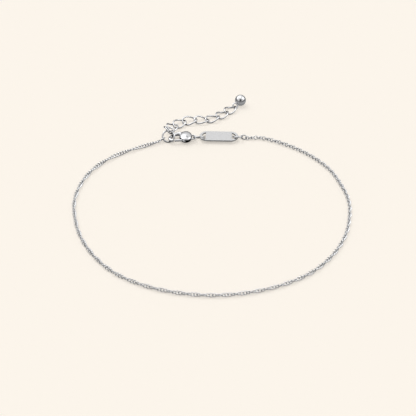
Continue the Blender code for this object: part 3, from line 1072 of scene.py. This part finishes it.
@dataclass
class FineChain:
    """The twisted chain round the ankle, with a small closed link at each end."""

    diameter: float = 1.15
    end_gap: float = 0.25
    end_length: float = 1.9
    end_width: float = 1.35
    end_wire: float = 0.32
    link_wire: float = 0.25
    link_pitch: float = 0.74
    link_gap: float = 0.03
    link_play: float = 0.02
    link_twist: float = -50.0
    left_away: tuple[float, float, float] = (-0.80, -0.57, -0.18)
    right_away: tuple[float, float, float] = (0.93, -0.25, -0.10)
    route: tuple[tuple[float, float], ...] = (
        (-16.3, 21.5), (-21.6, 18.6), (-26.6, 14.9), (-30.7, 9.8), (-33.3, 3.8), (-34.6, -2.7),
        (-34.5, -9.2), (-32.7, -18.5), (-29.0, -27.0), (-23.5, -34.2), (-16.2, -39.2), (-8.2, -42.0),
        (0.1, -43.0), (8.3, -42.0), (16.3, -39.2), (23.7, -34.3), (29.4, -27.1), (33.1, -18.5),
        (34.6, -9.2), (34.4, -2.7), (32.8, 3.6), (30.5, 9.7), (26.9, 14.9), (22.4, 19.3),
        (17.3, 22.7), (12.9, 24.6),
    )
    # Length of a half twist of the ribbon, by share of the way from the left end to the right
    half_twists: tuple[tuple[float, float], ...] = (
        (0.0, 7.5), (0.07, 7.5), (0.14, 4.1), (0.50, 3.9), (0.72, 3.4), (0.80, 2.5), (0.85, 2.2),
        (1.0, 2.2),
    )

    def end_link(self, name: str, node: str, wire: Vector, run: Vector, ring_wire: float,
                 away: Vector) -> Vector:
        """Hangs an end link on a ring's wire.

        Args:
            name: The piece's name.
            node: The CAD node that it stands for.
            wire: Middle of the ring's wire there.
            run: The wire's direction there.
            ring_wire: Diameter of the ring's wire.
            away: The link's direction.

        Returns:
            The middle of the end link.
        """
        reach = (ring_wire + self.end_wire) / 2 + HANG_GAP
        place = wire + away * ((self.end_length - self.end_wire) / 2 - reach)
        WireLink(self.end_length, self.end_width, self.end_wire).hang(
            name, node, lying(place, away, run), count=56, sides=14)
        return place

    def half_twist_at(self, share: float) -> float:
        """How long a half twist of the ribbon is.

        Args:
            share: Share of the way from the left end to the right.

        Returns:
            Its length there.
        """
        for (start, first), (end, second) in zip(self.half_twists, self.half_twists[1:]):
            if share <= end:
                return first + (second - first) * (share - start) / (end - start)
        return self.half_twists[-1][1]

    def path(self, left: Vector, left_away: Vector, right: Vector,
             right_away: Vector) -> list[Vector]:
        """The chain's middle line.

        Args:
            left: Middle of the left end link.
            left_away: That link's direction.
            right: Middle of the right end link.
            right_away: That link's direction.

        Returns:
            The line from inside the left end link to inside the right one.
        """
        height = self.diameter / 2
        tube_ends, noses = [], []
        for place, away in ((left, left_away), (right, right_away)):
            end = place + away * (self.end_length / 2 + self.end_gap)
            tube_ends.append(Vector((end.x, end.y, max(end.z, height))))
            inside = self.end_length / 2 - self.end_wire - self.link_gap - self.link_wire / 2
            noses.append(place + away * inside)
        through = [Vector((x, y, height)) for x, y in self.route]
        return smooth_line([noses[0], tube_ends[0], *through, tube_ends[1], noses[1]], steps=24)

    def build(self, clasp_ring: ClaspRing, right_wire: Vector, right_run: Vector,
              tag_wire: float) -> None:
        """Builds and dresses the chain and its end links.

        Args:
            clasp_ring: The ring that holds the left end.
            right_wire: Middle of the right ring's wire where the chain hangs.
            right_run: The wire's direction there.
            tag_wire: Diameter of the right ring's wire.
        """
        left_away = Vector(self.left_away).normalized()
        right_away = Vector(self.right_away).normalized()
        left_wire, left_run = clasp_ring.chain_side()
        left = self.end_link("end_link_left", "chain_end_link_left", left_wire, left_run,
                             clasp_ring.wire, left_away)
        right = self.end_link("end_link_right", "chain_end_link_right", right_wire, right_run,
                              tag_wire, right_away)
        line = self.path(left, left_away, right, right_away)
        lengths = [0.0]
        for start, end in zip(line, line[1:]):
            lengths.append(lengths[-1] + (end - start).length)
        whole = lengths[-1]
        count = round((whole - self.link_wire - self.link_gap) / self.link_pitch)
        pitch = (whole - self.link_wire - self.link_gap) / count
        link_length = pitch + 2 * self.link_wire + self.link_gap
        link = WireLink(link_length, self.diameter - self.link_play, self.link_wire,
                        self.link_twist, pitch, seam_depth=0.0).form(count=18, sides=8)
        chain = Form([], [])
        roll, at = 0.0, 0
        for number in range(count):
            distance = (pitch + self.link_wire + self.link_gap) / 2 + number * pitch
            while at < len(line) - 2 and lengths[at + 1] < distance:
                at += 1
            share = (distance - lengths[at]) / (lengths[at + 1] - lengths[at])
            spot = line[at].lerp(line[at + 1], share)
            along = (line[min(at + 2, len(line) - 1)] - line[max(at - 1, 0)]).normalized()
            roll += math.pi * pitch / self.half_twist_at(distance / whole)
            chain.add(link.placed(lying(spot, along, UP) @ Matrix.Rotation(roll, 4, "X")))
        finished("fine_twisted_chain", chain.mesh("fine_twisted_chain"), FACETED, ("main_chain",),
                 sharp_angle=WIRE_ANGLE)
        log.info("fine chain: %d links, %.1f mm", count, whole)


@dataclass
class Studio:
    """The pale table, the soft light and the camera."""

    target: tuple[float, float, float] = (-0.95, -6.55, 0.0)
    elevation: float = 35.5
    distance: float = 520.0
    lens: float = 178.6
    sensor: float = 36.0
    table_width: float = 3000.0
    table_colour: tuple[float, float, float] = (0.974, 0.914, 0.831)
    table_glow: float = 0.50
    even_light: float = 0.34
    window_light: float = 0.19
    window_width: float = 50.0
    window_side: tuple[float, float, float] = (-0.30, 0.45, 0.84)
    tent_light: float = 1.0
    tent_steps: tuple[tuple[float, float], ...] = (
        (0.0, 0.30), (0.30, 0.42), (0.47, 0.20), (0.54, 0.10), (0.70, 0.80), (1.0, 0.95),
    )
    flag_steps: tuple[tuple[float, float], ...] = (
        (0.0, 1.0), (0.90, 1.0), (0.955, 0.50), (0.985, 0.10), (1.0, 0.04),
    )
    box_distance: float = 600.0
    # Name, the way to it from the anklet, width and height, and brightness of each soft box
    boxes: tuple[tuple[str, tuple[float, float, float], tuple[float, float], float], ...] = (
        ("right_box", (0.75, 0.15, 0.55), (220.0, 420.0), 2.2),
        ("left_box", (-0.60, 0.35, 0.60), (260.0, 300.0), 1.8),
    )

    @property
    def toward_camera(self) -> Vector:
        """The way from the anklet to the camera."""
        lift = math.radians(self.elevation)
        return Vector((0.0, -math.cos(lift), math.sin(lift)))

    def camera(self) -> None:
        """Makes the camera at the photograph's angle."""
        data = bpy.data.cameras.new("camera")
        data.lens = self.lens
        data.sensor_width = self.sensor
        data.clip_start, data.clip_end = 0.01, 10.0
        camera = linked("camera", data)
        camera.location = (Vector(self.target) + self.toward_camera * self.distance) * MM
        aim(camera, -self.toward_camera)
        bpy.context.scene.camera = camera

    def table(self) -> None:
        """Makes the plain pale table top."""
        mesh = bpy.data.meshes.new("table_top")
        half = self.table_width / 2 * MM
        mesh.from_pydata([(-half, -half, 0.0), (half, -half, 0.0), (half, half, 0.0),
                          (-half, half, 0.0)], [], [(0, 1, 2, 3)])
        material = bpy.data.materials.new("pale_table")
        material.use_nodes = True
        shader = material.node_tree.nodes["Principled BSDF"]
        shader.inputs["Base Color"].default_value = (*self.table_colour, 1.0)
        shader.inputs["Roughness"].default_value = 0.9
        shader.inputs["Specular IOR Level"].default_value = 0.0
        shader.inputs["Emission Color"].default_value = (*self.table_colour, 1.0)
        shader.inputs["Emission Strength"].default_value = self.table_glow
        mesh.materials.append(material)
        table = linked("table_top", mesh)
        table.visible_glossy = False

    def shade(self, tree: bpy.types.NodeTree, side: Vector,
              steps: tuple[tuple[float, float], ...]) -> bpy.types.NodeSocket:
        """A grey level that follows how near a direction is to a given side.

        Args:
            tree: The world's node tree.
            side: The side.
            steps: Places from 0 at the far side to 1 at the given side, and their levels.

        Returns:
            The socket with the grey level.
        """
        toward = tree.nodes.new("ShaderNodeTexCoord")
        nearness = tree.nodes.new("ShaderNodeVectorMath")
        nearness.operation = "DOT_PRODUCT"
        nearness.inputs[1].default_value = side.normalized()
        share = add_node(tree, "ShaderNodeMapRange", {"From Min": -1.0})
        ramp = tree.nodes.new("ShaderNodeValToRGB")
        ramp.color_ramp.interpolation = "EASE"
        stops = ramp.color_ramp.elements
        while len(stops) < len(steps):
            stops.new(0.5)
        for stop, (place, level) in zip(stops, steps):
            stop.position = place
            stop.color = (level, level, level, 1.0)
        tree.links.new(toward.outputs["Generated"], nearness.inputs[0])
        tree.links.new(nearness.outputs["Value"], share.inputs["Value"])
        tree.links.new(share.outputs["Result"], ramp.inputs["Fac"])
        return ramp.outputs["Color"]

    def sky(self) -> None:
        """Makes an even white light for the table, and a shaded tent for what the silver mirrors."""
        world = bpy.data.worlds.new("white_tent")
        bpy.context.scene.world = world
        world.use_nodes = True
        tree = world.node_tree
        even = tree.nodes["Background"]
        even.inputs["Color"].default_value = (1.0, 1.0, 1.0, 1.0)
        even.inputs["Strength"].default_value = self.even_light
        tent = self.shade(tree, UP, self.tent_steps)
        flag = self.shade(tree, self.toward_camera, self.flag_steps)
        both = tree.nodes.new("ShaderNodeVectorMath")
        both.operation = "MULTIPLY"
        mirrored = add_node(tree, "ShaderNodeBackground", {"Strength": self.tent_light})
        ray = tree.nodes.new("ShaderNodeLightPath")
        choice = tree.nodes.new("ShaderNodeMixShader")
        for output, entry in (
            (tent, both.inputs[0]),
            (flag, both.inputs[1]),
            (both.outputs["Vector"], mirrored.inputs["Color"]),
            (ray.outputs["Is Glossy Ray"], choice.inputs["Fac"]),
            (even.outputs["Background"], choice.inputs[1]),
            (mirrored.outputs["Background"], choice.inputs[2]),
            (choice.outputs["Shader"], tree.nodes["World Output"].inputs["Surface"]),
        ):
            tree.links.new(output, entry)

    def sun(self) -> None:
        """Makes the wide soft light that draws the contact shadows."""
        data = bpy.data.lights.new("window", "SUN")
        data.energy = self.window_light * math.pi
        data.angle = math.radians(self.window_width)
        aim(linked("window", data), -Vector(self.window_side))

    def softbox(self, name: str, side: tuple[float, float, float], size: tuple[float, float],
                level: float) -> None:
        """Hangs a soft box that only the silver mirrors.

        Args:
            name: Its name.
            side: The way to it from the anklet.
            size: Its width and height, in millimetres.
            level: How bright it looks.
        """
        data = bpy.data.lights.new(name, "AREA")
        data.shape = "RECTANGLE"
        data.size, data.size_y = size[0] * MM, size[1] * MM
        data.energy = level * math.pi * data.size * data.size_y
        lamp = linked(name, data)
        lamp.visible_diffuse = False
        way = Vector(side).normalized()
        lamp.location = (Vector(self.target) + way * self.box_distance) * MM
        aim(lamp, -way)

    def build(self) -> None:
        """Sets the whole scene round the anklet."""
        self.camera()
        self.table()
        self.sky()
        self.sun()
        for name, side, size, level in self.boxes:
            self.softbox(name, side, size, level)
        bpy.context.scene.view_settings.view_transform = "Standard"


def main() -> None:
    """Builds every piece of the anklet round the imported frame, in order."""
    logging.basicConfig(level=logging.INFO, format="%(name)s: %(message)s")
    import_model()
    Studio().build()
    clasp = Clasp()
    clasp.build()
    clasp_ring = ClaspRing(clasp)
    clasp_ring.build()
    extender = Extender(clasp_ring)
    hook, along = extender.build()
    EndBall().build(extender, hook, along)
    tag = BarTag()
    tag.build()
    tag_rings = TagRings(clasp, tag)
    right_wire, right_run = tag_rings.build()
    FineChain().build(clasp_ring, right_wire, right_run, tag_rings.wire)


if __name__ == "__main__":
    main()
